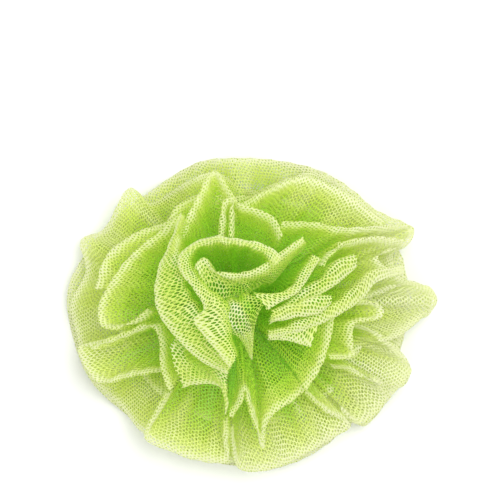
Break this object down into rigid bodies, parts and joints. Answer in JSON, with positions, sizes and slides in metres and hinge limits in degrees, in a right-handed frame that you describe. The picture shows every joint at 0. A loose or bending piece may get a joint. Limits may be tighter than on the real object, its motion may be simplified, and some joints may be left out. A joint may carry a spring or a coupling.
{
  "type": "mesh scrubber",
  "caption": "Round scrub puff of gathered netting: wide ruffled skirts behind, curled petals in front, drawn in at the waist by a tied cord.",
  "frame": {"origin": "under the middle of the puff, on the flat side that it lies on", "axes": "+Z out of the ruffled front, +X to the right and +Y up as the front is seen"},
  "size_m": [0.1187, 0.1012, 0.0508],
  "materials": {
    "netting": "knitted plastic netting, lime green, soft sheen",
    "tie_cord": "twisted pale cord"
  },
  "bodies": {
    "root": {"netting": "netting", "center_tie": "tie_cord"}
  },
  "joints": []
}
